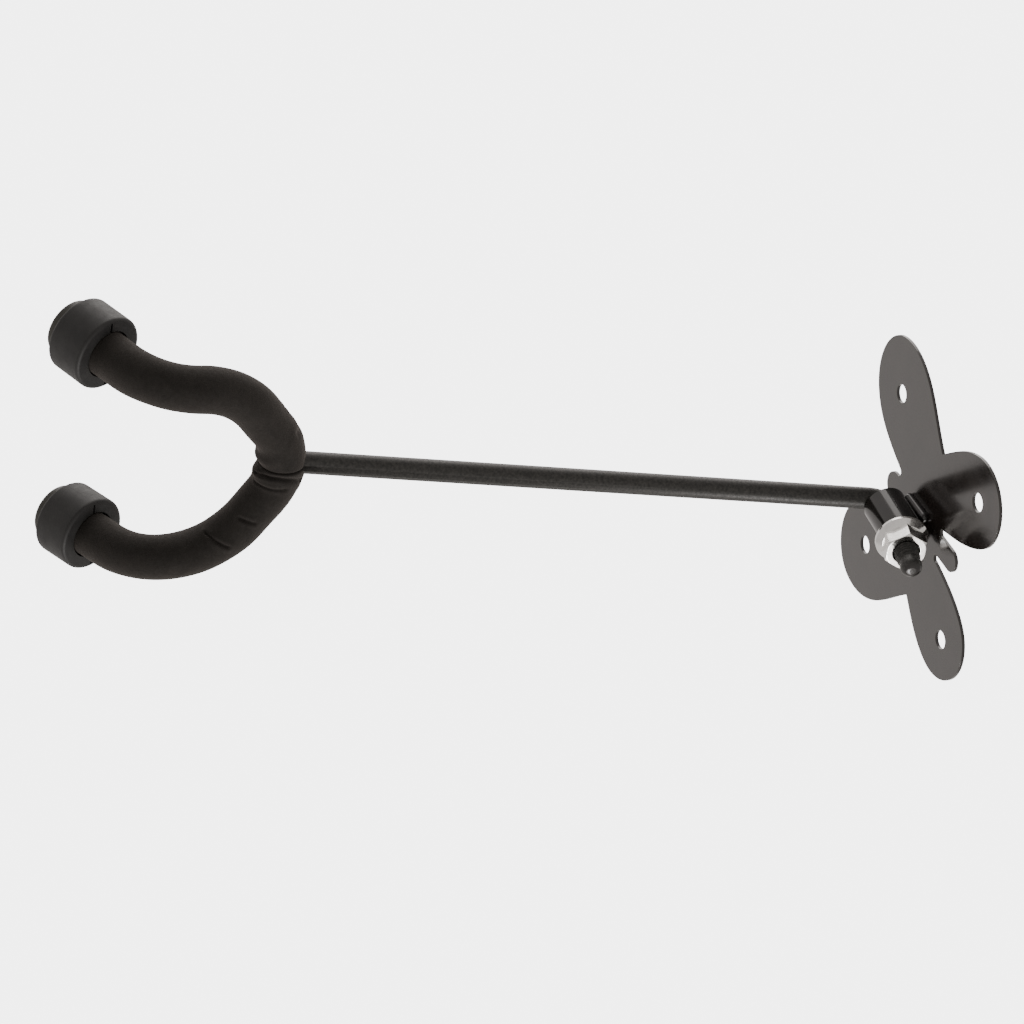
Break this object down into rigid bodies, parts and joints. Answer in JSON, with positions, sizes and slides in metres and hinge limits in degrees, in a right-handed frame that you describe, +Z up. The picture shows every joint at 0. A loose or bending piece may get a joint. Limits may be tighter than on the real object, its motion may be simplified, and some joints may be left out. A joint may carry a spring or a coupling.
{
  "type": "wall guitar hanger",
  "caption": "Wall hanger for a guitar: a butterfly wall plate, a hinged rod arm and a padded U-shaped yoke with end caps.",
  "frame": {"origin": "middle of the wall plate's back face, on the wall", "axes": "+Y into the wall, +Z up, +X to the right when facing the wall"},
  "size_m": [0.1138, 0.2854, 0.1314],
  "materials": {
    "plate_paint": "satin gloss black",
    "tube_paint": "gloss black",
    "rod_paint": "gloss black",
    "bar_steel": "plain bent bar",
    "foam": "matte closed-cell foam",
    "cap_rubber": "satin",
    "plug_plastic": "satin",
    "zinc": "bright zinc plated"
  },
  "bodies": {
    "bracket": {"wall_plate": "plate_paint", "pivot_tube": "tube_paint", "tube_weld_right": "tube_paint", "tube_weld_left": "tube_paint"},
    "arm": {"arm_rod": "rod_paint", "yoke_weld": "rod_paint", "yoke_bar": "bar_steel", "foam_right": "foam", "foam_left": "foam", "end_cap_right": "cap_rubber", "end_cap_left": "cap_rubber", "cap_plug_right": "plug_plastic", "cap_plug_left": "plug_plastic"},
    "nut": {"flange_nut": "zinc"}
  },
  "joints": [
    {"name": "arm_swing", "type": "hinge", "parent": "bracket", "child": "arm", "pos_m": [0, -0.00945, 0.01055], "axis": [0, 0.061, 0.9981], "range_deg": [-78, 72]},
    {"name": "nut_spin", "type": "hinge", "parent": "arm", "child": "nut", "pos_m": [0.00007, -0.012, -0.0082], "axis": [-0.0095, 0.2417, 0.9703], "continuous": true}
  ]
}
